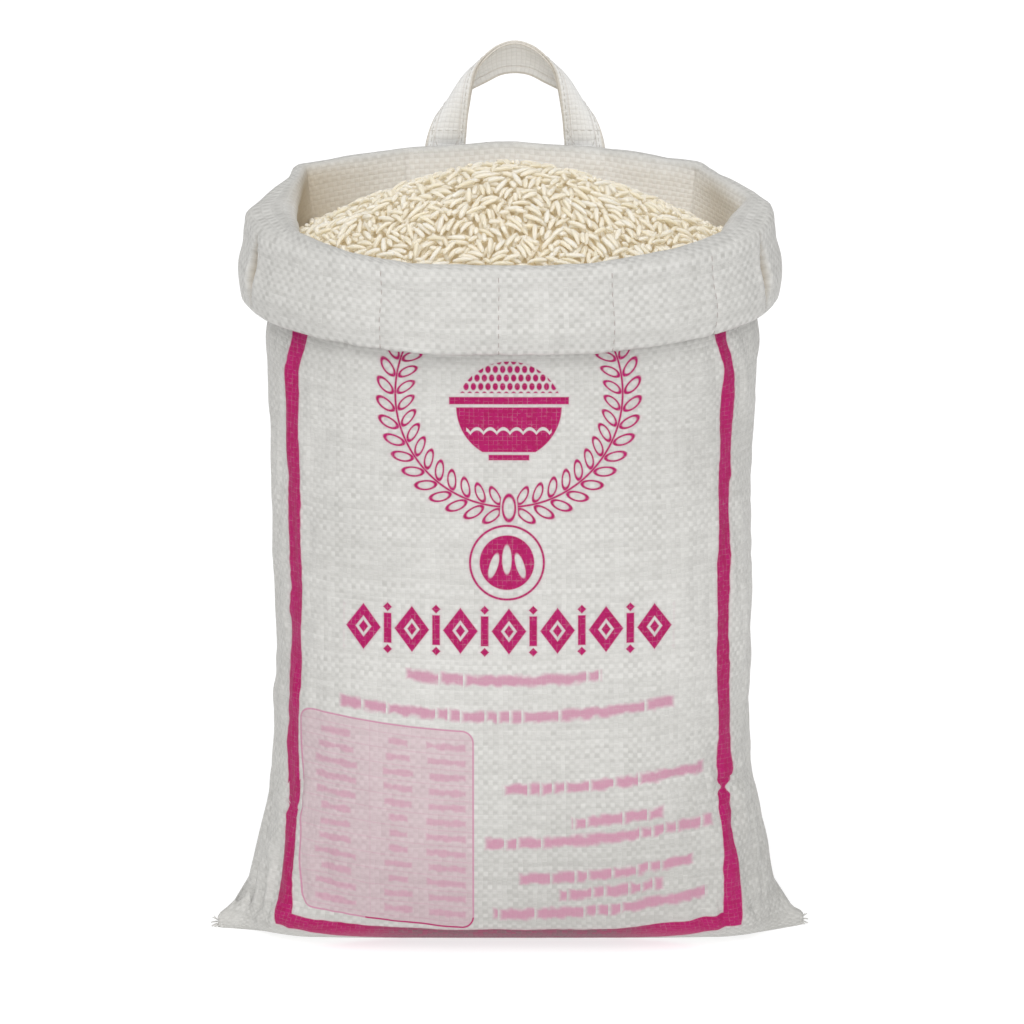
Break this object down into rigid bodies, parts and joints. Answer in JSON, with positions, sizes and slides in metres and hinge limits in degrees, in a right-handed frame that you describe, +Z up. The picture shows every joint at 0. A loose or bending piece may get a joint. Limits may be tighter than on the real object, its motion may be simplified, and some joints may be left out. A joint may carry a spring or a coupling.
{
  "type": "open sack of rice",
  "caption": "Woven cloth sack that stands open with its mouth rolled down into a cuff, heaped with long-grain rice, with a carrying strap at the back.",
  "frame": {"origin": "on the floor, under the middle of the standing sack", "axes": "+Z up, -Y out of the printed front, +X to the right of someone who faces the front"},
  "size_m": [0.2956, 0.193, 0.4337],
  "materials": {
    "woven_cloth": "matt woven tape cloth",
    "rice": "dry uncooked grain, slightly glossy",
    "strap_cloth": "matt folded cloth"
  },
  "bodies": {
    "root": {"sack": "woven_cloth", "rice": "rice", "strap": "strap_cloth"}
  },
  "joints": []
}
